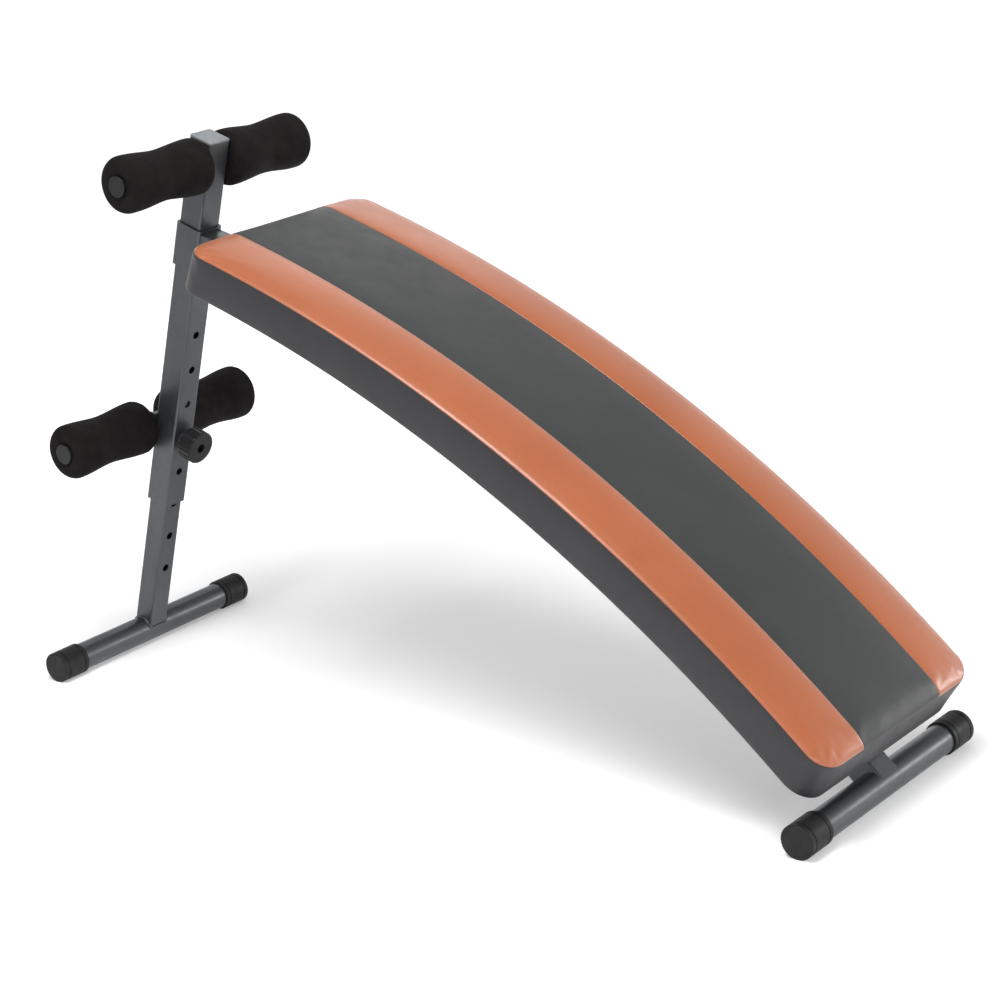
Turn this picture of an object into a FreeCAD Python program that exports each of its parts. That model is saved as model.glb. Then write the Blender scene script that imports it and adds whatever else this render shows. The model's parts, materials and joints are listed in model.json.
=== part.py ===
import FreeCAD, Part
import os
from math import atan2, cos, degrees, pi, radians, sin, sqrt

# Decline sit-up bench. Millimetres, +Z up, +X from the high end to the low end.
# The bench is laid out from the axis of its high-end foot bar, and moved at the end
# so that the origin is on the floor, midway along its length and its width.

# Feet
foot_spacing = 1230.0
foot_axis_height = 21.0
foot_bar_length = 370.0
foot_tube_radius = 19.0
foot_tube_wall = 2.0
foot_cap_radius = 21.6
foot_cap_length = 45.0
foot_cap_end = 4.0

# Upright, the leg that slides in it, and their row of holes. Heights are along the
# upright, from the axis of the foot bar.
tilt = 19.1
upright_size = 38.0
upright_wall = 1.5
upright_bottom = 217.7
upright_top = 770.7
leg_size = 32.0
leg_wall = 2.0
leg_top = 402.7
tube_corner = 3.0
hole_pitch = 54.0
lock_height = 324.7
upright_hole_radius = 5.4
leg_hole_radius = 5.6
upright_hole_steps = (-1, 0, 1, 2, 3)
leg_hole_steps = (-4, -3, -2, -1, 0)

# Collar on the beam, round the upright
collar_size = 44.0
collar_bottom = 585.7
collar_top = 647.7
collar_screw_heights = (602.0, 631.0)

# Roller bars and foam rollers
bar_radius = 12.5
bar_wall = 1.5
upper_bar_height = 738.4
upper_bar_offset = 4.0
lower_bar_height = 326.5
lower_bar_offset = -37.5
roller_length = 145.0
roller_radius = 38.0
roller_waist = 33.6
roller_end_face = 25.0
roller_play = 0.5
upper_roller_start = 20.5
lower_roller_start = 26.0
plug_radius = 14.0
plug_thickness = 3.0

# Locking screw and knob
screw_radius = 5.0
screw_tip = 16.4
boss_length = 5.0
boss_radius = 11.0
knob_radius = 23.5
knob_rear = 30.3
knob_front = 54.0
knob_flutes = 18

# Board: an arc about an axis that lies under the bench
arc_x = -319.0
arc_z = -1526.0
board_bottom_radius = 2217.5
board_top_radius = 2273.5
board_start = 16.95
board_start_top = 17.2
board_end = 44.4
board_end_top = 44.15
board_width = 340.0
board_corner = 38.0
centre_width = 172.0
ply_thickness = 12.0
cover_thickness = 1.5
underside_thickness = 0.8

# Beam under the board
beam_size = 38.0
beam_wall = 2.0
beam_touch_angle = 14.4

# Board angles, their screws and tee nuts
angle_stations = (("high", 19.5), ("middle", 30.5), ("low", 41.0))
angle_length = 44.0
angle_flange = 42.0
angle_web = 30.0
angle_thickness = 3.0
board_screw_radius = 3.0
board_screw_offset = 26.0
flat_on_curve = 0.04    # room that a flat washer or flange needs on the curved board


def vec(x, y, z):
    return FreeCAD.Vector(x, y, z)


def box(x0, x1, y0, y1, z0, z1):
    return Part.makeBox(x1 - x0, y1 - y0, z1 - z0, vec(x0, y0, z0))


def rod(radius, start, end, axis):
    """A round bar from start to end along one axis, on the local origin."""
    return Part.makeCylinder(radius, end - start, axis * start, axis)


def rounded_square(size, corner, z):
    """A square face with round corners, on the local Z axis."""
    if corner <= 0:
        half = size / 2
        return Part.makePlane(size, size, vec(-half, -half, z))
    flat = size / 2 - corner
    edges = []
    for quarter in range(4):
        turn = FreeCAD.Rotation(vec(0, 0, 1), 90 * quarter)
        side_start = turn.multVec(vec(size / 2, -flat, z))
        side_end = turn.multVec(vec(size / 2, flat, z))
        reach = flat + corner * cos(radians(45))
        middle = turn.multVec(vec(reach, reach, z))
        corner_end = turn.multVec(vec(flat, size / 2, z))
        edges.append(Part.makeLine(side_start, side_end))
        edges.append(Part.Arc(side_end, middle, corner_end).toShape())
    return Part.Face(Part.Wire(edges))


def square_bar(size, corner, z0, z1):
    return rounded_square(size, corner, z0).extrude(vec(0, 0, z1 - z0))


def square_tube(size, wall, corner, z0, z1):
    outer = square_bar(size, corner, z0, z1)
    inner = square_bar(size - 2 * wall, max(corner - wall, 0.5), z0 - 1, z1 + 1)
    return outer.cut(inner)


X = vec(1, 0, 0)
Y = vec(0, 1, 0)
Z = vec(0, 0, 1)


def on_upright(shape):
    """Moves a shape from the upright's own axes: X forward, Z up along the tube."""
    moved = shape.copy()
    upright_frame = FreeCAD.Placement(vec(0, 0, foot_axis_height), FreeCAD.Rotation(Y, tilt))
    moved.Placement = upright_frame.multiply(moved.Placement)
    return moved


def on_arc(shape, angle):
    """Moves a shape whose Z is the board arc's radius to an angle round the arc."""
    moved = shape.copy()
    arc_frame = FreeCAD.Placement(vec(arc_x, 0, arc_z), FreeCAD.Rotation(Y, angle))
    moved.Placement = arc_frame.multiply(moved.Placement)
    return moved


def swept_on_arc(face, start, end):
    """Sweeps a face that stands at angle 0 round the board's arc."""
    first = face.copy()
    first.rotate(vec(0, 0, 0), Y, start)
    ring = first.revolve(vec(0, 0, 0), Y, end - start)
    ring.translate(vec(arc_x, 0, arc_z))
    return ring


def mirrored(shape):
    return shape.mirror(vec(0, 0, 0), Y)


# ---- feet ----

def foot_tube(x):
    half = foot_bar_length / 2 - foot_cap_end
    tube = rod(foot_tube_radius, -half, half, Y)
    tube = tube.cut(rod(foot_tube_radius - foot_tube_wall, -half - 1, half + 1, Y))
    tube.translate(vec(x, 0, foot_axis_height))
    return tube


def foot_cap(x):
    """The cap at +Y: a cup with a round rim, two grooves and a flat to stand on."""
    outer = foot_bar_length / 2
    inner = outer - foot_cap_length
    cap = rod(foot_cap_radius, inner, outer, Y)
    rims = [edge for edge in cap.Edges if edge.Curve.TypeId == "Part::GeomCircle"]
    cap = cap.makeFillet(1.6, rims)
    cap = cap.cut(rod(foot_tube_radius, inner - 1, outer - foot_cap_end, Y))
    for groove_start in (outer - 9.0, inner + 7.0):
        ring = rod(foot_cap_radius + 1, groove_start, groove_start + 1.6, Y)
        cap = cap.cut(ring.cut(rod(foot_cap_radius - 0.7, inner, outer, Y)))
    below = box(-30, 30, inner - 1, outer + 1, -40, -foot_axis_height)
    cap = cap.cut(below)
    cap.translate(vec(x, 0, foot_axis_height))
    return cap


# ---- upright and leg ----

def front_holes(radius, steps):
    """Drills for the row of holes in a tube's front wall."""
    drills = []
    for step in steps:
        drill = rod(radius, 5, 30, X)
        drill.translate(vec(0, 0, lock_height + step * hole_pitch))
        drills.append(drill)
    return drills


def roller_bar(height, offset, roller_start):
    half = roller_start + roller_length + roller_play
    bar = rod(bar_radius, -half, half, Y).cut(rod(bar_radius - bar_wall, -half - 1, half + 1, Y))
    bar.translate(vec(offset, 0, height))
    return bar


def upright_tube():
    tube = square_tube(upright_size, upright_wall, tube_corner, upright_bottom, upright_top)
    across = rod(bar_radius, -30, 30, Y)
    across.translate(vec(upper_bar_offset, 0, upper_bar_height))
    drills = front_holes(upright_hole_radius, upright_hole_steps)
    for height in collar_screw_heights:
        drill = rod(collar_screw_radius, -30, -10, X)
        drill.translate(vec(0, 0, height))
        drills.append(drill)
    return on_upright(tube.cut([across] + drills))


def upright_top_plug():
    inner = upright_size - 2 * upright_wall
    plate = square_bar(upright_size, tube_corner, upright_top, upright_top + 2.5)
    skirt = square_tube(inner, 1.6, tube_corner - upright_wall, upright_top - 14, upright_top)
    return on_upright(plate.fuse(skirt).removeSplitter())


def leg_guide_bush():
    """A thin plastic sleeve inside the upright's mouth, which the leg slides in."""
    inner = upright_size - 2 * upright_wall
    sleeve = square_bar(inner, tube_corner - upright_wall, upright_bottom, upright_bottom + 40)
    opening = square_bar(leg_size + 0.7, tube_corner, upright_bottom - 1, upright_bottom + 41)
    return on_upright(sleeve.cut(opening))


def leg_tube():
    tube = square_tube(leg_size, leg_wall, tube_corner, 0, leg_top)
    saddle = rod(foot_tube_radius, -40, 40, Y)
    return on_upright(tube.cut([saddle] + front_holes(leg_hole_radius, leg_hole_steps)))


def leg_top_guide():
    """A plastic plug in the leg's top end that keeps it central in the upright."""
    inner = upright_size - 2 * upright_wall
    plate = square_bar(inner - 0.8, 1.5, leg_top, leg_top + 6)
    skirt = square_tube(leg_size - 2 * leg_wall, 2.0, 1.0, leg_top - 18, leg_top)
    return on_upright(plate.fuse(skirt).removeSplitter())


# ---- collar and its screws ----

collar_screw_radius = 4.0


def beam_collar():
    collar = square_bar(collar_size, tube_corner + 1, collar_bottom, collar_top)
    opening = square_bar(upright_size, tube_corner, collar_bottom - 1, collar_top + 1)
    drills = []
    for height in collar_screw_heights:
        drill = rod(collar_screw_radius, -30, -10, X)
        drill.translate(vec(0, 0, height))
        drills.append(drill)
    return on_upright(collar.cut([opening] + drills))


def hexagon(across_flats, start, end):
    """A hexagonal prism along local X."""
    corner = across_flats / sqrt(3)
    points = [vec(start, corner * cos(k * pi / 3), corner * sin(k * pi / 3)) for k in range(7)]
    return Part.Face(Part.makePolygon(points)).extrude(X * (end - start))


def collar_screw(height):
    seat = -collar_size / 2
    washer_and_head = rod(8.0, seat - 1.6, seat, X).fuse(hexagon(13.0, seat - 7.0, seat - 1.6))
    screw = washer_and_head.fuse(rod(collar_screw_radius, seat, -11.0, X)).removeSplitter()
    screw.translate(vec(0, 0, height))
    return on_upright(screw)


def collar_nut(height):
    seat = -upright_size / 2 + upright_wall
    nut = hexagon(13.0, seat, seat + 6.5).cut(rod(collar_screw_radius, seat - 1, seat + 8, X))
    nut.translate(vec(0, 0, height))
    return on_upright(nut)


# ---- roller bars, rollers and plugs ----

def roller_profile(start):
    """Half the section of a foam roller: round ends and a narrower waist."""
    end = start + roller_length
    middle = (start + end) / 2
    bore = bar_radius + 0.08
    shoulder = (roller_radius + roller_waist) / 2
    crest = 17.0
    outline = [
        (start, roller_end_face), (start + 4.5, roller_radius - 4.4), (start + crest, roller_radius),
        (start + 44.0, shoulder), (middle, roller_waist), (end - 44.0, shoulder),
        (end - crest, roller_radius), (end - 4.5, roller_radius - 4.4), (end, roller_end_face),
    ]
    curve = Part.BSplineCurve()
    curve.interpolate([vec(0, y, r) for y, r in outline])
    sides = Part.makePolygon([
        vec(0, end, roller_end_face), vec(0, end, bore), vec(0, start, bore), vec(0, start, roller_end_face),
    ])
    return Part.Face(Part.Wire([curve.toShape()] + sides.Edges))


def foam_roller(height, offset, start):
    roller = roller_profile(start).revolve(vec(0, 0, 0), Y, 360)
    roller.translate(vec(offset, 0, height))
    return on_upright(roller)


def roller_plug(height, offset, start):
    """The plug in a roller bar's end; its flange keeps the roller on."""
    face = start + roller_length + roller_play
    flange = rod(plug_radius, face, face + plug_thickness, Y)
    rim = [edge for edge in flange.Edges
           if edge.Curve.TypeId == "Part::GeomCircle" and edge.CenterOfMass.y > face + 1]
    flange = flange.makeFillet(1.2, rim)
    stem = rod(bar_radius - bar_wall, face - 16, face, Y).cut(rod(8.0, face - 17, face - 2, Y))
    plug = flange.fuse(stem).removeSplitter()
    plug.translate(vec(offset, 0, height))
    return on_upright(plug)


def lower_bar_bracket():
    """A pressed channel on the upright's back, with an ear each side of the bar."""
    seat = -upright_size / 2
    ear_width = 46.0
    half_height = 26.0
    plate = 3.0
    web = box(seat - plate, seat, -ear_width / 2, ear_width / 2, -half_height, half_height)
    ear_shape = Part.makePolygon([
        vec(seat, 0, -half_height), vec(seat, 0, half_height), vec(seat - 8, 0, half_height),
        vec(lower_bar_offset - 14, 0, 13), vec(lower_bar_offset - 14, 0, -13),
        vec(seat - 8, 0, -half_height), vec(seat, 0, -half_height),
    ])
    channel = web
    for side in (-1, 1):
        ear = Part.Face(ear_shape).extrude(Y * plate * -side)
        ear.translate(Y * side * ear_width / 2)
        channel = channel.fuse(ear)
    hole = rod(bar_radius, -40, 40, Y)
    hole.translate(vec(lower_bar_offset, 0, 0))
    channel = channel.removeSplitter().cut(hole)
    channel.translate(Z * lower_bar_height)
    return on_upright(channel)


# ---- locking screw and knob ----

def at_lock(shape):
    moved = shape.copy()
    moved.translate(Z * lock_height)
    return on_upright(moved)


def lock_boss():
    seat = upright_size / 2
    boss = rod(boss_radius, seat, seat + boss_length, X)
    return at_lock(boss.cut(rod(screw_radius + 0.06, seat - 1, seat + boss_length + 1, X)))


def lock_screw():
    """The threaded stud, drawn back so that its tip is just clear of the leg."""
    stud = rod(screw_radius, screw_tip, knob_front - 9, X)
    tip = [edge for edge in stud.Edges
           if edge.Curve.TypeId == "Part::GeomCircle" and edge.CenterOfMass.x < screw_tip + 1]
    return at_lock(stud.makeChamfer(1.0, tip))


def knob_grip():
    """A thick round fluted grip with a recess in its face."""
    grip = rod(knob_radius, knob_rear, knob_front, X)
    rims = [edge for edge in grip.Edges if edge.Curve.TypeId == "Part::GeomCircle"]
    grip = grip.makeFillet(2.5, rims)
    flutes = []
    for index in range(knob_flutes):
        turn = 2 * pi * index / knob_flutes
        flute = rod(2.4, knob_rear - 1, knob_front + 1, X)
        reach = knob_radius + 1.1
        flute.translate(vec(0, reach * cos(turn), reach * sin(turn)))
        flutes.append(flute)
    recess = rod(6.5, knob_front - 9, knob_front + 1, X)
    bore = rod(screw_radius, knob_rear - 1, knob_front - 8.9, X)
    return at_lock(grip.cut(flutes + [recess, bore]))


# ---- beam ----

def beam_arc():
    """Centre and radius of the beam's own arc: its top touches the board's underside
    at the collar, and its centre line meets the low foot's axis."""
    touch = board_bottom_radius - beam_size / 2
    direction = vec(sin(radians(beam_touch_angle)), 0, cos(radians(beam_touch_angle)))
    start = vec(arc_x, 0, arc_z) + direction * touch
    to_foot = vec(foot_spacing, 0, foot_axis_height) - start
    radius = -to_foot.dot(to_foot) / (2 * to_foot.dot(direction))
    return start - direction * radius, radius


def main_beam():
    centre, radius = beam_arc()
    foot = vec(foot_spacing, 0, foot_axis_height)
    foot_angle = degrees(atan2(foot.x - centre.x, foot.z - centre.z))
    outer = rounded_square(beam_size, tube_corner, 0)
    inner = rounded_square(beam_size - 2 * beam_wall, tube_corner - beam_wall, 0)
    section = outer.cut(inner)
    section.rotate(vec(0, 0, 0), Y, 90)
    section.translate(Z * radius)
    first_angle = 8.0
    section.rotate(vec(0, 0, 0), Y, first_angle)
    beam = section.revolve(vec(0, 0, 0), Y, foot_angle - first_angle)
    beam.translate(centre)
    behind_collar = on_upright(box(-300, collar_size / 2, -60, 60, collar_bottom - 200, collar_top + 200))
    saddle = rod(foot_tube_radius, -40, 40, Y)
    saddle.translate(foot)
    return beam.cut([behind_collar, saddle])


# ---- board ----

def arc_point(radius, angle):
    return vec(arc_x + radius * sin(radians(angle)), 0, arc_z + radius * cos(radians(angle)))


def end_frame(bottom_angle, top_angle, outward):
    """The foot of a slanted end face, the way up it, and the way out of the board."""
    foot = arc_point(board_bottom_radius, bottom_angle)
    slope = (arc_point(board_top_radius, top_angle) - foot).normalize()
    return foot, slope, Y.cross(slope) * outward


def end_cutters(bottom_angle, top_angle, outward, inset):
    """What is cut off one end of the board: everything past the end face, and the
    material outside the two round corners."""
    foot, slope, away = end_frame(bottom_angle, top_angle, outward)
    low = foot - slope * 60
    height = slope * 180
    past = 60.0
    edge = low - away * inset
    strip = [edge - Y * board_width, edge + Y * board_width]
    strip += [strip[1] + away * past, strip[0] + away * past, strip[0]]
    cutters = [Part.Face(Part.makePolygon(strip)).extrude(height)]
    radius = board_corner - inset
    for side in (-1, 1):
        across = Y * side
        centre = low - away * board_corner + across * (board_width / 2 - board_corner)
        out = away * (radius + 10)
        over = across * (radius + 10)
        square = Part.makePolygon([centre, centre + out, centre + out + over, centre + over, centre])
        block = Part.Face(square).extrude(height)
        cutters.append(block.cut(Part.makeCylinder(radius, 180, centre, slope)))
    return cutters


def board_slab(inner_radius, outer_radius, inset):
    """A curved slab of the board's outline, drawn in by inset at the sides and ends."""
    half = board_width / 2 - inset
    section = Part.Face(Part.makePolygon([
        vec(0, -half, inner_radius), vec(0, half, inner_radius), vec(0, half, outer_radius),
        vec(0, -half, outer_radius), vec(0, -half, inner_radius),
    ]))
    slab = swept_on_arc(section, board_start - 1, board_end + 1)
    cutters = end_cutters(board_start, board_start_top, -1, inset)
    return slab.cut(cutters + end_cutters(board_end, board_end_top, 1, inset))


def board_cover_radius():
    return board_top_radius - cover_thickness


def ply_top():
    return board_bottom_radius + underside_thickness + ply_thickness


def tee_nut_solid(flange_top):
    """A tee nut without its bore, at angle 0: barrel in the wood, flange on top."""
    barrel = rod(4.2, ply_top() - 10, ply_top() - 1.4, Z)
    return barrel.fuse(rod(9.5, ply_top() - 1.4, flange_top, Z)).removeSplitter()


def screw_places():
    """Angle and side of each board screw: one each side of the beam at each station."""
    places = []
    for name, angle in angle_stations:
        for side in (-1, 1):
            places.append((angle, side * (beam_size / 2 + board_screw_offset)))
    return places


def at_screw(shape, place):
    angle, y = place
    moved = shape.copy()
    moved.translate(Y * y)
    return on_arc(moved, angle)


def board_base():
    base = board_slab(board_bottom_radius + underside_thickness, ply_top(), cover_thickness)
    shank = rod(board_screw_radius, board_bottom_radius - 1, ply_top() - 5, Z)
    cutter = tee_nut_solid(ply_top() + 1).fuse(shank)
    return base.cut([at_screw(cutter, place) for place in screw_places()])


def board_foam():
    return board_slab(ply_top(), board_cover_radius(), cover_thickness)


def cover_strip(y0, y1):
    skin = board_slab(board_cover_radius(), board_top_radius, cover_thickness)
    return skin.common(box(-100, 1500, y0, y1, -200, 900))


def side_band():
    outer = board_slab(board_bottom_radius, board_top_radius, 0)
    return outer.cut(board_slab(board_bottom_radius - 5, board_top_radius + 5, cover_thickness))


def underside_cover():
    top = board_bottom_radius + underside_thickness
    sheet = board_slab(board_bottom_radius, top, cover_thickness)
    drill = rod(board_screw_radius, board_bottom_radius - 1, top + 1, Z)
    return sheet.cut([at_screw(drill, place) for place in screw_places()])


def board_angles(angle):
    """A pair of steel angles that hold the board to the sides of the beam."""
    half = beam_size / 2
    top = board_bottom_radius
    corner_points = [
        (half, top - angle_web), (half, top), (half + angle_flange, top),
        (half + angle_flange, top - angle_thickness), (half + angle_thickness, top - angle_thickness),
        (half + angle_thickness, top - angle_web), (half, top - angle_web),
    ]
    section = Part.Face(Part.makePolygon([vec(0, y, r) for y, r in corner_points]))
    spread = degrees(angle_length / 2 / board_bottom_radius)
    right = swept_on_arc(section, angle - spread, angle + spread)
    drill = rod(board_screw_radius, top - 10, top + 1, Z)
    right = right.cut(at_screw(drill, (angle, half + board_screw_offset)))
    return [right, mirrored(right)]


def board_washer(place):
    seat = board_bottom_radius - angle_thickness - flat_on_curve
    washer = rod(6.5, seat - 1.2, seat, Z).cut(rod(board_screw_radius, seat - 2, seat + 1, Z))
    return at_screw(washer, place)


def board_screw(place):
    seat = board_bottom_radius - angle_thickness - flat_on_curve - 1.2
    head = rod(5.4, seat - 3.6, seat, Z)
    rim = [edge for edge in head.Edges
           if edge.Curve.TypeId == "Part::GeomCircle" and edge.CenterOfMass.z < seat - 1]
    head = head.makeFillet(1.6, rim)
    socket = hexagon(4.0, 0, 2.2)
    socket.rotate(vec(0, 0, 0), Y, -90)
    socket.translate(Z * (seat - 3.7))
    shank = rod(board_screw_radius, seat, ply_top() - 5, Z)
    return at_screw(head.cut(socket).fuse(shank).removeSplitter(), place)


def tee_nut(place):
    bore = rod(board_screw_radius, ply_top() - 11, ply_top() - 5, Z)
    return at_screw(tee_nut_solid(ply_top() - flat_on_curve).cut(bore), place)


# ---- the whole bench ----

def roller_nodes():
    """Rollers and plugs, on the right (-Y) and the left (+Y) of each bar."""
    nodes = {}
    bars = (("upper", upper_bar_height, upper_bar_offset, upper_roller_start),
            ("lower", lower_bar_height, lower_bar_offset, lower_roller_start))
    for name, height, offset, start in bars:
        nodes[name + "_roller_bar"] = on_upright(roller_bar(height, offset, start))
        roller = foam_roller(height, offset, start)
        plug = roller_plug(height, offset, start)
        nodes[name + "_left_foam_roller"] = roller
        nodes[name + "_right_foam_roller"] = mirrored(roller)
        nodes[name + "_left_bar_plug"] = plug
        nodes[name + "_right_bar_plug"] = mirrored(plug)
    return nodes


def board_nodes():
    half_centre = centre_width / 2
    nodes = {
        "board_base": board_base(),
        "board_foam": board_foam(),
        "centre_cover_panel": cover_strip(-half_centre, half_centre),
        "left_cover_panel": cover_strip(half_centre, board_width),
        "right_cover_panel": cover_strip(-board_width, -half_centre),
        "side_band": side_band(),
        "underside_cover": underside_cover(),
        "board_screws": Part.makeCompound([board_screw(place) for place in screw_places()]),
        "board_washers": Part.makeCompound([board_washer(place) for place in screw_places()]),
        "tee_nuts": Part.makeCompound([tee_nut(place) for place in screw_places()]),
    }
    for name, angle in angle_stations:
        nodes[name + "_board_angles"] = Part.makeCompound(board_angles(angle))
    return nodes


def foot_nodes():
    nodes = {}
    for name, x in (("high", 0.0), ("low", foot_spacing)):
        cap = foot_cap(x)
        nodes[name + "_foot_tube"] = foot_tube(x)
        nodes[name + "_foot_left_cap"] = cap
        nodes[name + "_foot_right_cap"] = mirrored(cap)
    return nodes


def frame_nodes():
    return {
        "upright_tube": upright_tube(),
        "upright_top_plug": upright_top_plug(),
        "leg_guide_bush": leg_guide_bush(),
        "leg_tube": leg_tube(),
        "leg_top_guide": leg_top_guide(),
        "beam_collar": beam_collar(),
        "collar_screws": Part.makeCompound([collar_screw(height) for height in collar_screw_heights]),
        "collar_nuts": Part.makeCompound([collar_nut(height) for height in collar_screw_heights]),
        "lower_bar_bracket": lower_bar_bracket(),
        "lock_boss": lock_boss(),
        "lock_screw": lock_screw(),
        "lock_knob": knob_grip(),
        "main_beam": main_beam(),
    }


def main():
    nodes = frame_nodes()
    nodes.update(foot_nodes())
    nodes.update(roller_nodes())
    nodes.update(board_nodes())
    far_end = arc_point(board_top_radius, board_end_top).x
    to_origin = vec((foot_cap_radius - far_end) / 2, 0, 0)
    os.makedirs("parts", exist_ok=True)
    for name, shape in nodes.items():
        placed = shape.copy()
        placed.translate(to_origin)
        placed.exportStep("parts/" + name + ".step")
    print("nodes", len(nodes), "moved along X by", round(to_origin.x, 4))


main()
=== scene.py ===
import bpy
import bmesh
import json
from math import atan2, cos, exp, pi, radians, sin, sqrt
from mathutils import Matrix, Vector, noise


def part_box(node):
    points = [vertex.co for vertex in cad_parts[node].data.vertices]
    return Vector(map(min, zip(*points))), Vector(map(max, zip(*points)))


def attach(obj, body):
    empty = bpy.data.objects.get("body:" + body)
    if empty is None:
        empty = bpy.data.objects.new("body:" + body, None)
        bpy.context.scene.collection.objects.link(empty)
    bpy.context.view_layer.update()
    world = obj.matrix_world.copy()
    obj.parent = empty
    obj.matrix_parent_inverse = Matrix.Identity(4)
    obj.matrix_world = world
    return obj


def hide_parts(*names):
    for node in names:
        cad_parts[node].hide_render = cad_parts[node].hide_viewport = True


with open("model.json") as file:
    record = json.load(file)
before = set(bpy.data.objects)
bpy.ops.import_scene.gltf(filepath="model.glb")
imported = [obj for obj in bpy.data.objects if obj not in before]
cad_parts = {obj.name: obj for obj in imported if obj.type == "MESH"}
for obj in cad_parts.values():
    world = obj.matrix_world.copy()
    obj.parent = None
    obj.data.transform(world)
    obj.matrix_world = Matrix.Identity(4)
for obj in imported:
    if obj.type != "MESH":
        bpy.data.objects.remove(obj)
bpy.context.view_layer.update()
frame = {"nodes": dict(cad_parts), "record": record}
nodes = frame["nodes"]

# ---- sizes and places, in metres; the foot is found in the frame ----

HIGH_FOOT = (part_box("high_foot_tube")[0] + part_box("high_foot_tube")[1]) / 2
TILT = radians(19.1)
UPRIGHT_HALF = 0.019
LEG_HALF = 0.016
FOOT_TUBE_RADIUS = 0.019

# The board's arc, as in the CAD: its axis, and the radii of its underside and top.
ARC_X = HIGH_FOOT.x - 0.319
ARC_Z = -1.526
UNDERSIDE = 2.2175
TOP = 2.2735
BOARD_START = radians(16.95)
BOARD_END = radians(44.4)
BOARD_LENGTH = (BOARD_END - BOARD_START) * TOP
BOARD_HALF_WIDTH = 0.170
BOARD_CORNER = 0.038
SEAM = 0.086


# ---- materials ----

def linear(red, green, blue):
    """A colour given in screen values from 0 to 255."""
    return tuple((value / 255) ** 2.2 for value in (red, green, blue)) + (1.0,)


class Shader:
    """A Principled material with helpers for the nodes that drive it."""

    def __init__(self, name, roughness=0.5, metallic=0.0):
        self.material = bpy.data.materials.new(name)
        self.material.use_nodes = True
        self.tree = self.material.node_tree
        self.surface = self.tree.nodes["Principled BSDF"]
        self.surface.inputs["Roughness"].default_value = roughness
        self.surface.inputs["Metallic"].default_value = metallic
        self.place = self.tree.nodes.new("ShaderNodeTexCoord").outputs["Object"]
        self.bumps = []

    def node(self, kind, **values):
        made = self.tree.nodes.new(kind)
        for key, value in values.items():
            if hasattr(made, key):
                setattr(made, key, value)
            else:
                made.inputs[key.replace("_", " ")].default_value = value
        return made

    def link(self, start, end):
        self.tree.links.new(start, end)

    def noise(self, scale, detail=3.0, roughness=0.5, stretch=None):
        made = self.node("ShaderNodeTexNoise", Scale=scale, Detail=detail, Roughness=roughness)
        self.link(self.stretched(stretch), made.inputs["Vector"])
        return made.outputs["Fac"]

    def cells(self, scale, feature="F1", stretch=None):
        made = self.node("ShaderNodeTexVoronoi", Scale=scale)
        made.feature = feature
        self.link(self.stretched(stretch), made.inputs["Vector"])
        return made.outputs["Distance"]

    def stretched(self, stretch):
        if stretch is None:
            return self.place
        mapping = self.node("ShaderNodeMapping", Scale=stretch)
        self.link(self.place, mapping.inputs["Vector"])
        return mapping.outputs["Vector"]

    def band(self, value, low, high, out_low, out_high):
        made = self.node("ShaderNodeMapRange")
        for index, number in enumerate((low, high, out_low, out_high), start=1):
            made.inputs[index].default_value = number
        self.link(value, made.inputs[0])
        return made.outputs[0]

    def blend_colours(self, factor, first, second):
        made = self.node("ShaderNodeMix", data_type="RGBA")
        sockets = {s.identifier: s for s in made.inputs}
        for key, colour in (("A_Color", first), ("B_Color", second)):
            if isinstance(colour, tuple):
                sockets[key].default_value = colour
            else:
                self.link(colour, sockets[key])
        self.link(factor, sockets["Factor_Float"])
        return {s.identifier: s for s in made.outputs}["Result_Color"]

    def colour(self, source):
        if isinstance(source, tuple):
            self.surface.inputs["Base Color"].default_value = source
        else:
            self.link(source, self.surface.inputs["Base Color"])

    def rough(self, source):
        self.link(source, self.surface.inputs["Roughness"])

    def bump(self, height, depth, strength=1.0):
        made = self.node("ShaderNodeBump", Strength=strength, Distance=depth)
        self.link(height, made.inputs["Height"])
        if self.bumps:
            self.link(self.bumps[-1], made.inputs["Normal"])
        self.bumps.append(made.outputs["Normal"])
        self.link(self.bumps[-1], self.surface.inputs["Normal"])


def powder_coat():
    """Silver-grey metallic powder coat: fine orange peel, flake sparkle, faint scuffs."""
    shade = Shader("silver_powder_coat", metallic=0.8)
    flakes = shade.band(shade.noise(2600, 1.0), 0.35, 0.65, 0.0, 1.0)
    base = shade.blend_colours(flakes, linear(74, 77, 79), linear(98, 101, 104))
    cloud = shade.band(shade.noise(9, 3.0), 0.35, 0.7, 0.0, 0.35)
    shade.colour(shade.blend_colours(cloud, base, linear(65, 68, 71)))
    shade.rough(shade.band(shade.noise(45, 5.0, 0.65), 0.3, 0.75, 0.30, 0.46))
    shade.bump(shade.noise(750, 2.0), 0.00012, 0.5)
    shade.surface.inputs["Coat Weight"].default_value = 0.12
    shade.surface.inputs["Coat Roughness"].default_value = 0.25
    return shade.material


def zinc():
    shade = Shader("zinc_plate", metallic=0.95)
    tint = shade.band(shade.noise(120, 3.0), 0.3, 0.7, 0.0, 1.0)
    shade.colour(shade.blend_colours(tint, linear(168, 168, 160), linear(196, 196, 190)))
    shade.rough(shade.band(shade.noise(300, 3.0), 0.3, 0.7, 0.25, 0.45))
    shade.bump(shade.noise(900, 2.0), 0.00005, 0.4)
    return shade.material


def moulded(name, dark, light, low, high, grain=1400.0, depth=0.00006, gloss=0.35):
    """Moulded plastic or rubber: a fine sparked grain and slight colour drift."""
    shade = Shader(name)
    drift = shade.band(shade.noise(30, 4.0), 0.3, 0.7, 0.0, 1.0)
    shade.colour(shade.blend_colours(drift, dark, light))
    shade.rough(shade.band(shade.noise(90, 3.0), 0.3, 0.7, low, high))
    shade.bump(shade.noise(grain, 2.0), depth, 0.6)
    shade.surface.inputs["Specular IOR Level"].default_value = gloss
    return shade.material


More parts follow.
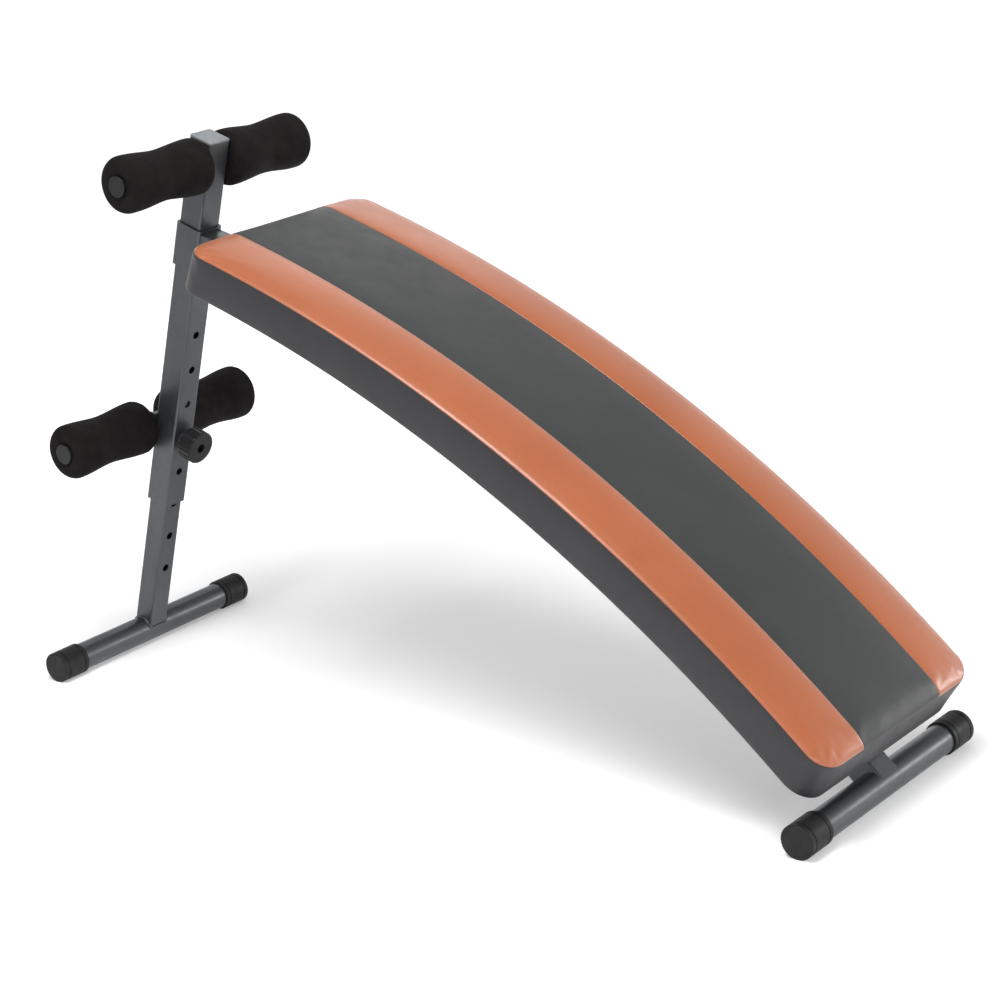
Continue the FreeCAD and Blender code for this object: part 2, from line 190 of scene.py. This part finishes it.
def roller_foam():
    """Closed-cell black foam: tiny open pits with painted shade in them, a dusty bloom and brown-black
    drift.
    """
    shade = Shader("black_foam")
    drift = shade.band(shade.noise(28, 5.0, 0.6), 0.35, 0.7, 0.0, 1.0)
    base = shade.blend_colours(drift, linear(19, 16, 16), linear(30, 26, 26))
    # painted shade: the pits of the foam's cells are darkened
    painted_pore_shade = shade.band(shade.cells(620), 0.05, 0.42, 1.0, 0.0)
    shade.colour(shade.blend_colours(painted_pore_shade, base, linear(9, 8, 8)))
    shade.rough(shade.band(shade.noise(60, 3.0), 0.3, 0.7, 0.80, 0.95))
    shade.bump(shade.cells(620), 0.0004, 0.55)
    shade.bump(shade.noise(95, 4.0, 0.6), 0.0006, 0.4)
    shade.surface.inputs["Specular IOR Level"].default_value = 0.16
    return shade.material


def vinyl(name, dark, mid, light, roughness, coat, coat_roughness, sheen):
    """Soft upholstery vinyl: pebbled leather grain with painted shade in its hollows, creases, and an
    uneven gloss.
    """
    shade = Shader(name)
    drift = shade.band(shade.noise(5.5, 4.0, 0.55), 0.3, 0.72, 0.0, 1.0)
    base = shade.blend_colours(drift, mid, light)
    # painted shade: the hollows of the grain are darkened towards the dark colour
    painted_valley_shade = shade.band(shade.cells(430, "DISTANCE_TO_EDGE"), 0.0, 0.12, 0.3, 0.0)
    shade.colour(shade.blend_colours(painted_valley_shade, base, dark))
    shade.rough(shade.band(shade.noise(26, 4.0, 0.6), 0.3, 0.75, *roughness))
    shade.bump(shade.cells(430, "DISTANCE_TO_EDGE"), 0.0002, 0.25)
    shade.bump(shade.noise(1500, 2.0), 0.00006, 0.4)
    shade.bump(shade.noise(38, 3.0), 0.0006, 0.25)
    shade.surface.inputs["Coat Weight"].default_value = coat
    shade.surface.inputs["Coat Roughness"].default_value = coat_roughness
    shade.surface.inputs["Sheen Weight"].default_value = sheen
    shade.surface.inputs["Sheen Roughness"].default_value = 0.4
    return shade.material


def plywood():
    shade = Shader("bent_plywood")
    grain = shade.band(shade.noise(30, 6.0, 0.6, stretch=(1.0, 22.0, 22.0)), 0.3, 0.7, 0.0, 1.0)
    shade.colour(shade.blend_colours(grain, linear(186, 150, 104), linear(150, 112, 70)))
    shade.rough(shade.band(shade.noise(80, 3.0), 0.3, 0.7, 0.6, 0.8))
    shade.bump(grain, 0.0002, 0.4)
    return shade.material


def felt():
    """The black non-woven sheet under the board: matted fibres and a dot emboss."""
    shade = Shader("underside_felt")
    fibres = shade.band(shade.noise(420, 6.0, 0.75), 0.35, 0.65, 0.0, 1.0)
    shade.colour(shade.blend_colours(fibres, linear(24, 24, 25), linear(52, 52, 54)))
    shade.rough(shade.band(shade.noise(200, 3.0), 0.3, 0.7, 0.85, 0.98))
    shade.bump(shade.cells(520), 0.0003, 0.5)
    shade.bump(fibres, 0.0002, 0.5)
    return shade.material


COPPER = vinyl("copper_vinyl", linear(128, 68, 40), linear(156, 87, 53), linear(166, 94, 59),
               (0.34, 0.48), 0.34, 0.28, 0.14)
CHARCOAL = vinyl("charcoal_vinyl", linear(34, 36, 35), linear(48, 50, 49), linear(54, 56, 55),
                 (0.46, 0.60), 0.0, 0.4, 0.06)
# The side band is the charcoal vinyl made darker: painted shade for the band's sides, which face away from
# the lights.
SHADED_BAND_VINYL = vinyl("band_vinyl_painted_shade", linear(26, 25, 27), linear(36, 35, 38), linear(42, 41, 44),
             (0.42, 0.56), 0.04, 0.4, 0.04)
SILVER = powder_coat()
ZINC = zinc()
RUBBER = moulded("cap_rubber", linear(18, 18, 19), linear(26, 26, 28), 0.50, 0.66)
BLACK_PLASTIC = moulded("black_plastic", linear(19, 19, 20), linear(27, 27, 29), 0.36, 0.5)
GREY_PLASTIC = moulded("grey_plastic", linear(112, 115, 117), linear(124, 127, 129), 0.42, 0.55)
WHITE_PLASTIC = moulded("white_plastic", linear(205, 205, 200), linear(222, 222, 218), 0.45, 0.6)
FOAM = roller_foam()
PAD_FOAM = moulded("pad_foam", linear(214, 200, 160), linear(226, 214, 178), 0.85, 0.95,
                   grain=300.0, depth=0.0004)

SLOT_MATERIALS = {
    "silver_paint": SILVER,
    "zinc_steel": ZINC,
    "black_rubber": RUBBER,
    "black_plastic": BLACK_PLASTIC,
    "grey_plastic": GREY_PLASTIC,
    "white_plastic": WHITE_PLASTIC,
    "black_foam": FOAM,
    "pad_foam": PAD_FOAM,
    "copper_vinyl": COPPER,
    "charcoal_vinyl": CHARCOAL,
    "bent_plywood": plywood(),
    "underside_fabric": felt(),
}


def dress_frame():
    """Gives every CAD node the material of its slot."""
    for subpart in frame["record"]["subparts"]:
        node = nodes[subpart["node"]]
        node.data.materials.clear()
        node.data.materials.append(SLOT_MATERIALS[subpart["material_slot"]])


# ---- mesh helpers ----

def smooth(mesh):
    mesh.polygons.foreach_set("use_smooth", [True] * len(mesh.polygons))
    mesh.update()


def mesh_object(name, points, faces, material):
    mesh = bpy.data.meshes.new(name)
    mesh.from_pydata([tuple(point) for point in points], [], faces)
    mesh.materials.append(material)
    made = bpy.data.objects.new(name, mesh)
    bpy.context.scene.collection.objects.link(made)
    smooth(mesh)
    return made


def apply_modifiers(piece):
    """Replaces a piece's mesh with what its modifiers make of it."""
    evaluated = piece.evaluated_get(bpy.context.evaluated_depsgraph_get())
    result = bpy.data.meshes.new_from_object(evaluated)
    old = piece.data
    piece.modifiers.clear()
    piece.data = result
    result.name = piece.name
    bpy.data.meshes.remove(old)


def outward_normals(mesh):
    build = bmesh.new()
    build.from_mesh(mesh)
    bmesh.ops.recalc_face_normals(build, faces=build.faces)
    build.to_mesh(mesh)
    build.free()


def closed_tube_faces(rows, around):
    """Faces between rows of points that run round, the last row joined to the first."""
    faces = []
    for i in range(rows):
        here = i * around
        beyond = (i + 1) % rows * around
        for k in range(around):
            after = (k + 1) % around
            faces.append((here + k, here + after, beyond + after, beyond + k))
    return faces


def on_upright(height, across, forward):
    """A point given along the upright from the foot's axis, across it and in front of it."""
    return Vector((
        HIGH_FOOT.x + height * sin(TILT) + forward * cos(TILT),
        across,
        HIGH_FOOT.z + height * cos(TILT) - forward * sin(TILT),
    ))


# ---- cushion ----

TOP_SLACK = 0.0012       # how far the unstuffed top starts below the CAD's
PAD_HEIGHT = TOP - UNDERSIDE - TOP_SLACK
CROWN = 0.0068           # how much higher the top is along the middle than at its edge
CROWN_FADE = 0.030       # the crown falls away over this length at both ends
EDGE_DROP = 0.006        # radius of the rolled top edge
RING_REACH = 0.020       # width of the margin that is meshed as rings round the outline
END_LEAN = {-1: 0.011, 1: 0.009}   # how far the top falls short of the base at each end
LEAN_FADE = 0.09         # the lean of an end is gone this far from it
SEAM_FROM_EDGE = 0.0012  # the panels are sewn to the side band this far in
SEAM_SINK = 0.0010       # how deep the stitches pull the edge seam in
INNER_SINK = 0.0005      # and the two seams along the top
WRAP_RADIUS = 0.0025     # the band's turn under the bottom edge
WRAP_BELOW = 0.0015      # how far the wrapped band lies below the plywood's underside
GRID_STEP = 0.0085
SIM_FRAMES = 20
SKIN = 0.0014            # thickness of the vinyl


def on_board(along, across, height):
    """A point along the board from its high end, across it, and above its underside."""
    angle = BOARD_START + along / TOP
    radius = UNDERSIDE + height
    return Vector((ARC_X + radius * sin(angle), across, ARC_Z + radius * cos(angle)))


def leaning(along, height):
    """Draws a point in towards the middle of the board, more the higher it is, because
    both ends lean in. The lean fades out away from the end."""
    for end, lean in END_LEAN.items():
        gap = along if end < 0 else BOARD_LENGTH - along
        fade = max(0.0, 1 - gap / LEAN_FADE) ** 2
        along -= end * lean * fade * max(0.0, height) / PAD_HEIGHT
    return along


def crown(along, across, height):
    """How far the crowned top lifts a point."""
    end_gap = min(1.0, max(0.0, min(along, BOARD_LENGTH - along) / CROWN_FADE))
    share = (1 - (across / BOARD_HALF_WIDTH) ** 4) * (1 - (1 - end_gap) ** 2)
    return CROWN * share * max(0.0, height / PAD_HEIGHT) ** 4


def evenly(start, end, step):
    """Positions from start to end, both included, no further apart than step."""
    count = max(1, int(abs(end - start) / step + 0.999))
    return [start + (end - start) * index / count for index in range(count + 1)]


def with_corner(start, end, step):
    """Positions from start to end, with closer ones over the corner's arc before the end."""
    arc = BOARD_CORNER - RING_REACH
    return evenly(start, end - arc, step)[:-1] + evenly(end - arc, end, arc / 6)


def across_lines():
    """Lines along the core of the board: closer together beside the two seams and in
    the corners."""
    edge = BOARD_HALF_WIDTH - RING_REACH
    beside = (0.0025, 0.0065)
    half = [SEAM - gap for gap in reversed(beside)] + [SEAM] + [SEAM + gap for gap in beside]
    middle = evenly(-half[0], half[0], GRID_STEP)[1:-1]
    side = with_corner(half[-1], edge, GRID_STEP)[1:]
    return [-value for value in reversed(half + side)] + middle + half + side


def top_height(from_edge):
    """Height of the unstuffed top at a distance from the board's outline."""
    if from_edge >= EDGE_DROP:
        return PAD_HEIGHT
    gap = EDGE_DROP - from_edge
    return PAD_HEIGHT - EDGE_DROP + sqrt(EDGE_DROP ** 2 - gap ** 2)


def round_corner(along, across):
    """Moves a point of the core's rectangle onto the rounded rectangle, and gives the
    outline's normal there."""
    radius = BOARD_CORNER - RING_REACH
    half_length = BOARD_LENGTH / 2 - RING_REACH
    half_width = BOARD_HALF_WIDTH - RING_REACH
    x = along - BOARD_LENGTH / 2
    over_x = (abs(x) - (half_length - radius)) / radius
    over_y = (abs(across) - (half_width - radius)) / radius
    sign_x = 1 if x > 0 else -1
    sign_y = 1 if across > 0 else -1
    if over_x > 0 and over_y > 0:
        u = over_x * sqrt(1 - over_y ** 2 / 2)
        v = over_y * sqrt(1 - over_x ** 2 / 2)
        x = sign_x * (half_length - radius + u * radius)
        across = sign_y * (half_width - radius + v * radius)
        length = max(sqrt(u * u + v * v), 1e-9)
        normal = (sign_x * u / length, sign_y * v / length)
    elif abs(x) >= half_length - 1e-9:
        normal = (sign_x, 0)
    else:
        normal = (0, sign_y)
    return x + BOARD_LENGTH / 2, across, normal


def margin_rings():
    """Rings of the cushion's margin, from the core out and down: distance in from the
    outline, height, and whether the ring is in a panel, on the seam or in the band."""
    rings = []
    for from_edge in (0.0160, 0.0120, 0.0083, 0.0055, 0.0036, 0.0022):
        rings.append((from_edge, top_height(from_edge), "panel"))
    rings.append((SEAM_FROM_EDGE, top_height(SEAM_FROM_EDGE) - SEAM_SINK, "seam"))
    for from_edge in (0.0006, 0.0002, 0.0):
        rings.append((from_edge, top_height(from_edge), "band"))
    turn_from = WRAP_RADIUS - WRAP_BELOW
    for height in evenly(PAD_HEIGHT - EDGE_DROP, turn_from, GRID_STEP * 0.75)[1:]:
        rings.append((0.0, height, "band"))
    for turn in (30, 60, 90):
        angle = radians(turn)
        rings.append((WRAP_RADIUS * (1 - cos(angle)), turn_from - WRAP_RADIUS * sin(angle), "band"))
    for reach in (0.008, 0.015, 0.022):
        rings.append((reach, -WRAP_BELOW, "band"))
    return rings


def panel_at(across):
    if abs(across) < SEAM:
        return "centre"
    return "left" if across > 0 else "right"


def cushion_surface():
    """The cushion's skin before it is stuffed: points, faces, the region of each face,
    and how firmly each point is sewn down."""
    lines = across_lines()
    half_stations = with_corner(0.0, BOARD_LENGTH / 2 - RING_REACH, GRID_STEP)
    stations = [BOARD_LENGTH / 2 - gap for gap in reversed(half_stations[1:])]
    stations += [BOARD_LENGTH / 2 + gap for gap in half_stations]
    points, faces, regions, sewn = [], [], [], []
    index_of = {}

    def place(along, across, height):
        lift = crown(along, across, height)
        points.append(on_board(leaning(along, height), across, height + lift))

    for i, along in enumerate(stations):
        for j, across in enumerate(lines):
            x, y, _ = round_corner(along, across)
            at_seam = abs(abs(across) - SEAM) < 1e-6
            index_of[i, j] = len(points)
            place(x, y, PAD_HEIGHT - (INNER_SINK if at_seam else 0.0))
            sewn.append(1.0 if at_seam else 0.0)
    last_i = len(stations) - 1
    last_j = len(lines) - 1
    for i in range(last_i):
        for j in range(last_j):
            corners = ((i, j), (i + 1, j), (i + 1, j + 1), (i, j + 1))
            faces.append(tuple(index_of[corner] for corner in corners))
            regions.append(panel_at((lines[j] + lines[j + 1]) / 2))
    border = [(0, j) for j in range(last_j)] + [(i, last_j) for i in range(last_i)]
    border += [(last_i, j) for j in range(last_j, 0, -1)] + [(i, 0) for i in range(last_i, 0, -1)]
    previous = [index_of[spot] for spot in border]
    for from_edge, height, kind in margin_rings():
        current = []
        for i, j in border:
            x, y, normal = round_corner(stations[i], lines[j])
            reach = RING_REACH - from_edge
            at_seam = abs(abs(lines[j]) - SEAM) < 1e-6 and kind == "panel"
            level = height - (INNER_SINK if at_seam else 0.0)
            place(x + normal[0] * reach, y + normal[1] * reach, level)
            current.append(len(points) - 1)
            wrapped = kind == "band" and height <= 0
            sewn.append(1.0 if at_seam or kind == "seam" or wrapped else 0.0)
        count = len(border)
        for k in range(count):
            after = (k + 1) % count
            faces.append((previous[k], previous[after], current[after], current[k]))
            middle = (lines[border[k][1]] + lines[border[after][1]]) / 2
            regions.append("band" if kind == "band" else panel_at(middle))
        previous = current
    return points, faces, regions, sewn


def stuff(piece, sewn, caps):
    """Swells the skin with cloth pressure, held where it is sewn, then limits how far
    each point may move."""
    before = [vertex.co.copy() for vertex in piece.data.vertices]
    group = piece.vertex_groups.new(name="sewn")
    for index, weight in enumerate(sewn):
        if weight:
            group.add([index], weight, "REPLACE")
    cloth = piece.modifiers.new("stuffing", "CLOTH")
    settings = cloth.settings
    settings.quality = 6
    settings.mass = 0.02
    settings.tension_stiffness = 12
    settings.compression_stiffness = 6
    settings.shear_stiffness = 4
    settings.bending_stiffness = 0.6
    settings.air_damping = 2.0
    settings.vertex_group_mass = "sewn"
    settings.use_pressure = True
    settings.uniform_pressure_force = 4.0
    settings.effector_weights.gravity = 0.0
    cloth.point_cache.frame_start = 1
    cloth.point_cache.frame_end = SIM_FRAMES
    scene = bpy.context.scene
    for number in range(1, SIM_FRAMES + 1):
        scene.frame_set(number)
    apply_modifiers(piece)
    scene.frame_set(1)
    for vertex, start, cap in zip(piece.data.vertices, before, caps):
        move = vertex.co - start
        if move.length > 1e-9:
            vertex.co = start + move.normalized() * cap * (1 - exp(-move.length / cap))
    piece.vertex_groups.clear()


def build_cushion():
    points, faces, regions, sewn = cushion_surface()
    skin = mesh_object("cushion_skin", points, faces, SHADED_BAND_VINYL)
    outward_normals(skin.data)
    swell = {"centre": 0.0030, "left": 0.0034, "right": 0.0034, "band": 0.0022}
    caps = [swell["band"]] * len(points)
    for face, region in zip(faces, regions):
        for index in face:
            caps[index] = max(caps[index], swell[region])
    stuff(skin, sewn, caps)
    finish = {
        "centre": ("board_centre_panel", CHARCOAL, "charcoal_vinyl", ("centre_cover_panel", "board_foam")),
        "left": ("board_left_panel", COPPER, "copper_vinyl", ("left_cover_panel",)),
        "right": ("board_right_panel", COPPER, "copper_vinyl", ("right_cover_panel",)),
        "band": ("board_side_band", SHADED_BAND_VINYL, "charcoal_vinyl", ("side_band",)),
    }
    for region, (name, material, slot, replaced) in finish.items():
        panel = cut_panel(skin, faces, regions, region, name, material)
        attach(panel, "frame")
        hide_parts(*replaced)
    bpy.data.objects.remove(skin)


def cut_panel(skin, faces, regions, region, name, material):
    """One sewn panel of the skin as a closed piece with the vinyl's thickness."""
    kept = [face for face, its_region in zip(faces, regions) if its_region == region]
    used = sorted({index for face in kept for index in face})
    renumbered = {old: new for new, old in enumerate(used)}
    points = [skin.data.vertices[index].co.copy() for index in used]
    panel = mesh_object(name, points, [tuple(renumbered[i] for i in face) for face in kept], material)
    build = bmesh.new()
    build.from_mesh(panel.data)
    bmesh.ops.recalc_face_normals(build, faces=build.faces)
    # the panel is open, so the recalculated side is checked against the board's middle
    vote = 0.0
    for face in build.faces:
        middle = face.calc_center_median()
        angle = atan2(middle.x - ARC_X, middle.z - ARC_Z)
        heart = on_board((angle - BOARD_START) * TOP, 0, PAD_HEIGHT / 2)
        vote += (middle - heart).dot(face.normal) * face.calc_area()
    if vote < 0:
        bmesh.ops.reverse_faces(build, faces=build.faces)
    build.to_mesh(panel.data)
    build.free()
    rounding = panel.modifiers.new("rounding", "SUBSURF")
    rounding.levels = 1
    rounding.render_levels = 1
    rounding.boundary_smooth = "PRESERVE_CORNERS"
    thicken = panel.modifiers.new("thickness", "SOLIDIFY")
    thicken.thickness = SKIN
    thicken.offset = -1
    apply_modifiers(panel)
    smooth(panel.data)
    return panel


# ---- foam rollers ----

ROLLER_LENGTH = 0.145
ROLLER_RADIUS = 0.038
ROLLER_WAIST = 0.0336
ROLLER_BORE = 0.01262
ROLLER_SIDES = 96
ROLLER_RIPPLE = 0.00045


def roller_outline():
    """Distance along the roller and radius, from the inner bore edge round the outside
    to the outer bore edge: a full round end, the long waist, and a full round end."""
    outline = [(0.0015, ROLLER_BORE), (0.0004, 0.0150), (0.0, 0.0190), (0.0001, 0.0225)]
    corner_along, corner_radius = 0.0120, 0.0135
    for step in range(1, 11):
        angle = radians(90 * step / 10)
        along = corner_along * (1 - cos(angle)) ** 1.1
        outline.append((along, ROLLER_RADIUS - corner_radius * (1 - sin(angle))))
    inner = ROLLER_LENGTH - 2 * corner_along
    for step in range(1, 36):
        share = step / 36
        dip = (0.5 - 0.5 * cos(2 * pi * share)) ** 1.15
        radius = ROLLER_RADIUS - (ROLLER_RADIUS - ROLLER_WAIST) * dip
        outline.append((corner_along + inner * share, radius))
    return outline + [(ROLLER_LENGTH - along, radius) for along, radius in reversed(outline[:14])]


def foam_roller(row, side_name):
    """A foam roller round its bar, on one side of the upright."""
    node = row + "_" + side_name + "_foam_roller"
    low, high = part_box(node)
    centre = (low + high) / 2
    sign = 1 if side_name == "left" else -1
    start = low.y if sign > 0 else high.y
    around = ROLLER_SIDES
    points = []
    outline = roller_outline()
    for along, radius in outline:
        for k in range(around):
            turn = 2 * pi * k / around
            direction = Vector((cos(turn), 0, sin(turn)))
            seat = centre.copy()
            seat.y = start + sign * along
            softness = min(1.0, max(0.0, (radius - 0.02) / 0.01))
            sample = (seat + direction * radius) * 34.0 + Vector((len(row) * 7.1, sign * 3.3, 0))
            ripple = ROLLER_RIPPLE * noise.noise(sample) * softness
            points.append(seat + direction * (radius + ripple))
    faces = closed_tube_faces(len(outline), around)
    roller = mesh_object(row + "_" + side_name + "_foam_sleeve", points, faces, FOAM)
    outward_normals(roller.data)
    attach(roller, row + "_" + side_name + "_roller")
    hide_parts(node)


# ---- welds ----

LEG_WELD = 0.0017
BAR_WELD = 0.0011
BAR_WELD_RADIUS = 0.0127


def bead(name, path, normal, body, thickness):
    """A weld bead round a closed path lying square to the normal, with the ripples of
    its passes."""
    around = 8
    points = []
    count = len(path)
    for i, point in enumerate(path):
        tangent = (path[(i + 1) % count] - path[(i - 1) % count]).normalized()
        side = normal.cross(tangent).normalized()
        other = tangent.cross(side)
        swell = thickness * (1 + 0.16 * sin(i * 2.1) + 0.1 * noise.noise(point * 300))
        for k in range(around):
            turn = 2 * pi * k / around
            points.append(point + (side * cos(turn) + other * sin(turn)) * swell)
    weld = mesh_object(name, points, closed_tube_faces(count, around), SILVER)
    outward_normals(weld.data)
    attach(weld, body)


def square_path(half, corner, steps):
    """Points round a square with round corners, as (forward, across)."""
    flat = half - corner
    path = []
    for quarter in range(4):
        base = pi / 2 * quarter
        along = evenly(-flat, flat, 0.0025)
        for value in along[:-1]:
            path.append((half * cos(base) - value * sin(base), half * sin(base) + value * cos(base)))
        for step in range(steps):
            turn = base + pi / 2 * step / steps
            centre = (flat * cos(base) - flat * sin(base), flat * sin(base) + flat * cos(base))
            path.append((centre[0] + corner * cos(turn), centre[1] + corner * sin(turn)))
    return path


def leg_weld():
    """Round the leg where it meets the foot tube."""
    path = []
    for forward, across in square_path(LEG_HALF + 0.0004, 0.003, 4):
        drop = min(abs(forward), FOOT_TUBE_RADIUS - 0.0004)
        height = sqrt(FOOT_TUBE_RADIUS ** 2 - drop ** 2)
        path.append(on_upright(height + 0.0006, across, forward))
    along = Vector((sin(TILT), 0, cos(TILT)))
    bead("leg_weld", path, along, "leg", LEG_WELD)


def ring_path(centre, radius, axis, steps):
    side = axis.orthogonal().normalized()
    other = axis.cross(side)
    return [centre + (side * cos(2 * pi * k / steps) + other * sin(2 * pi * k / steps)) * radius
            for k in range(steps)]


def bar_welds():
    """Round the upper bar on both sides of the upright."""
    low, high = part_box("upper_roller_bar")
    centre = (low + high) / 2
    for name, side in (("left", 1), ("right", -1)):
        at = Vector((centre.x, side * UPRIGHT_HALF, centre.z))
        axis = Vector((0, 1, 0))
        ring = ring_path(at, BAR_WELD_RADIUS, axis, 40)
        bead("upper_bar_weld_" + name, ring, axis, "frame", BAR_WELD)


# ---- stage ----

FLOOR_REACH = 30.0
SHADOW_GLOW = 0.24       # the floor's own light round the bench, where its shadow falls
FAR_GLOW = 0.62          # and further away


def floor_paper():
    """Pale paper that glows with painted light, less so round the bench and on the near side."""
    paper = Shader("studio_paper", roughness=0.9)
    paper.colour((0.86, 0.86, 0.865, 1.0))
    away = paper.node("ShaderNodeVectorMath", operation="LENGTH")
    paper.link(paper.place, away.inputs[0])
    apart = paper.node("ShaderNodeSeparateXYZ")
    paper.link(paper.place, apart.inputs[0])
    # painted light: the floor glows, more weakly round the bench where its shadow falls and towards the
    # near side
    glow = paper.node("ShaderNodeMath", operation="MULTIPLY")
    paper.link(paper.band(away.outputs["Value"], 0.75, 1.9, SHADOW_GLOW, FAR_GLOW), glow.inputs[0])
    paper.link(paper.band(apart.outputs["Y"], -2.2, -0.9, 0.35, 1.0), glow.inputs[1])
    paper.surface.inputs["Emission Color"].default_value = (1.0, 1.0, 1.0, 1.0)
    paper.link(glow.outputs[0], paper.surface.inputs["Emission Strength"])
    return paper.material


def studio_floor():
    reach = FLOOR_REACH
    floor_mesh = bpy.data.meshes.new("studio_floor")
    floor_mesh.from_pydata([(-reach, -reach, 0), (reach, -reach, 0), (reach, reach, 0), (-reach, reach, 0)],
                           [], [(0, 1, 2, 3)])
    floor_mesh.materials.append(floor_paper())
    floor = bpy.data.objects.new("studio_floor", floor_mesh)
    bpy.context.scene.collection.objects.link(floor)


def surroundings():
    """White all round, bright near the horizon and darker overhead."""
    world = bpy.data.worlds.new("studio_world")
    bpy.context.scene.world = world
    world.use_nodes = True
    tree = world.node_tree
    background = tree.nodes["Background"]
    background.inputs["Color"].default_value = (1.0, 1.0, 1.0, 1.0)
    direction = tree.nodes.new("ShaderNodeTexCoord").outputs["Generated"]
    apart = tree.nodes.new("ShaderNodeSeparateXYZ")
    tree.links.new(direction, apart.inputs[0])
    fall = tree.nodes.new("ShaderNodeMapRange")
    for index, number in enumerate((0.30, 0.62, 1.05, 0.30), start=1):
        fall.inputs[index].default_value = number
    tree.links.new(apart.outputs["Z"], fall.inputs[0])
    tree.links.new(fall.outputs[0], background.inputs["Strength"])


def softbox(name, place, target, width, depth, power):
    light = bpy.data.lights.new(name, "AREA")
    light.shape = "RECTANGLE"
    light.size = width
    light.size_y = depth
    light.energy = power
    made = bpy.data.objects.new(name, light)
    made.location = place
    towards = Vector(target) - Vector(place)
    made.rotation_euler = towards.to_track_quat("-Z", "Y").to_euler()
    bpy.context.scene.collection.objects.link(made)


def lights():
    middle = (0.0, 0.0, 0.35)
    softbox("overhead", (0.35, -0.95, 2.7), middle, 1.3, 1.1, 60)
    softbox("front_soft", (2.6, -0.9, 1.5), middle, 1.0, 0.8, 20)
    softbox("back_soft", (-1.6, 2.3, 2.5), middle, 1.6, 1.2, 7)
    softbox("side_strip", (2.2, 2.9, 0.5), (0.0, 0.0, 0.15), 0.9, 0.4, 19)


def camera():
    """The camera stands in front of the low end, to the right, and is rolled a little."""
    azimuth = radians(40.16)
    elevation = radians(17.35)
    roll = radians(-5.51)
    forward = Vector((-sin(azimuth) * cos(elevation), cos(azimuth) * cos(elevation), -sin(elevation)))
    level = forward.cross(Vector((0, 0, 1))).normalized()
    upward = level.cross(forward)
    right = cos(roll) * level + sin(roll) * upward
    above = cos(roll) * upward - sin(roll) * level
    data = bpy.data.cameras.new("camera")
    data.sensor_width = 36.0
    data.lens = 91.39
    data.clip_end = 200.0
    made = bpy.data.objects.new("camera", data)
    turn = Matrix((right, above, -forward)).transposed().to_4x4()
    made.matrix_world = Matrix.Translation(Vector((HIGH_FOOT.x + 2.6704, -2.3453, 1.2597))) @ turn
    bpy.context.scene.collection.objects.link(made)
    bpy.context.scene.camera = made


def colour_handling():
    view = bpy.context.scene.view_settings
    view.view_transform = "Standard"
    view.look = "None"


dress_frame()
build_cushion()
for bar_row in ("upper", "lower"):
    for roller_side in ("left", "right"):
        foam_roller(bar_row, roller_side)
leg_weld()
bar_welds()
studio_floor()
surroundings()
lights()
camera()
colour_handling()
